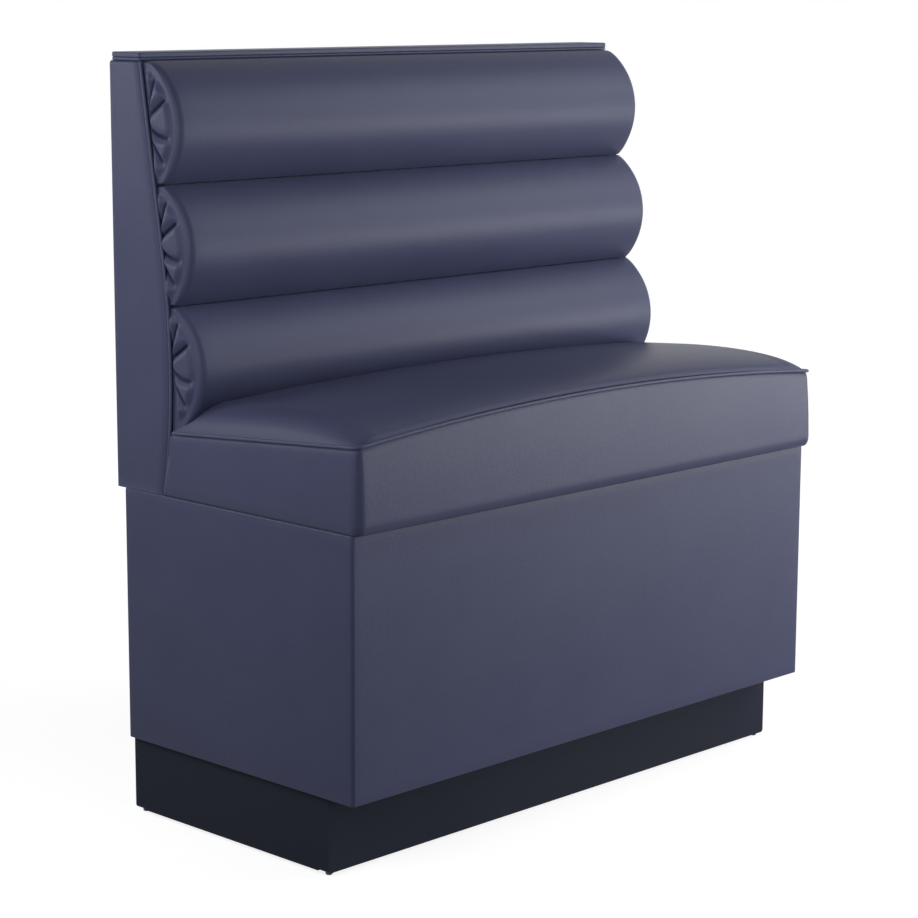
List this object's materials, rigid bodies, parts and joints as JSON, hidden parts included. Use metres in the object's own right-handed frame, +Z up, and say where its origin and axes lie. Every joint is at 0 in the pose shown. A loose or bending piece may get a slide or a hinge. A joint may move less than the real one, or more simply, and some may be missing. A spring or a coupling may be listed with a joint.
{
  "type": "restaurant booth seat",
  "caption": "Single-sided restaurant booth seat: upholstered base box on a recessed plinth, crowned welted seat cushion and a raked back of full-width rolls between end panels.",
  "frame": {"origin": "on the floor, midway across the booth and midway from the front of the seat cushion to the rear of the back", "axes": "+X to the right as seen from the front, +Y towards the rear of the back, +Z up"},
  "size_m": [1.1802, 0.6, 1.3145],
  "materials": {
    "navy_vinyl": "satin",
    "black_plinth": "satin",
    "plywood": "matte",
    "timber": "matte",
    "foam": "matte",
    "felt": "matte",
    "dust_cloth": "matte",
    "steel": "satin",
    "black_glide": "matte"
  },
  "bodies": {
    "booth": {"back_bolts": "steel", "back_bottom_rail": "timber", "back_bracket_screws": "steel", "back_brackets": "steel", "back_centre_rib": "plywood", "back_channel_board": "plywood", "back_end_cleat_left": "timber", "back_end_cleat_right": "timber", "back_end_cover_left": "navy_vinyl", "back_end_cover_right": "navy_vinyl", "back_end_panel_left": "plywood", "back_end_panel_right": "plywood", "back_end_welt_left": "navy_vinyl", "back_end_welt_right": "navy_vinyl", "back_rear_board": "plywood", "back_rear_cover": "navy_vinyl", "back_roll_cover_bottom": "navy_vinyl", "back_roll_cover_middle": "navy_vinyl", "back_roll_cover_top": "navy_vinyl", "back_roll_foam_bottom": "foam", "back_roll_foam_middle": "foam", "back_roll_foam_top": "foam", "back_top_board": "plywood", "base_centre_divider": "plywood", "base_cover": "navy_vinyl", "base_cross_rail": "timber", "base_end_panel_left": "plywood", "base_end_panel_right": "plywood", "base_floor_board": "plywood", "base_floor_screws": "steel", "base_front_cleat": "timber", "base_front_panel": "plywood", "base_rear_cleat": "timber", "base_rear_panel": "plywood", "cap_board": "plywood", "cap_cover": "navy_vinyl", "cap_welt": "navy_vinyl", "glide_insert_nuts": "steel", "plinth_centre_brace": "plywood", "plinth_corner_blocks": "timber", "plinth_end_left": "black_plinth", "plinth_end_right": "black_plinth", "plinth_front_board": "black_plinth", "plinth_rear_board": "black_plinth", "seat_cover": "navy_vinyl", "seat_dust_cloth": "dust_cloth", "seat_fixing_screws": "steel", "seat_foam": "foam", "seat_front_rail": "timber", "seat_rear_rail": "timber", "seat_side_rail_left": "timber", "seat_side_rail_right": "timber", "seat_spring_clips": "steel", "seat_spring_pad": "felt", "seat_springs": "steel", "seat_welt": "navy_vinyl"},
    "glide_front_left": {"glide_front_left": "black_glide"},
    "glide_front_right": {"glide_front_right": "black_glide"},
    "glide_rear_left": {"glide_rear_left": "black_glide"},
    "glide_rear_right": {"glide_rear_right": "black_glide"}
  },
  "joints": [
    {"name": "glide_front_left_screw", "type": "slide", "parent": "booth", "child": "glide_front_left", "axis": [0, 0, -1], "range_m": [0, 0.012]},
    {"name": "glide_front_right_screw", "type": "slide", "parent": "booth", "child": "glide_front_right", "axis": [0, 0, -1], "range_m": [0, 0.012]},
    {"name": "glide_rear_left_screw", "type": "slide", "parent": "booth", "child": "glide_rear_left", "axis": [0, 0, -1], "range_m": [0, 0.012]},
    {"name": "glide_rear_right_screw", "type": "slide", "parent": "booth", "child": "glide_rear_right", "axis": [0, 0, -1], "range_m": [0, 0.012]}
  ]
}
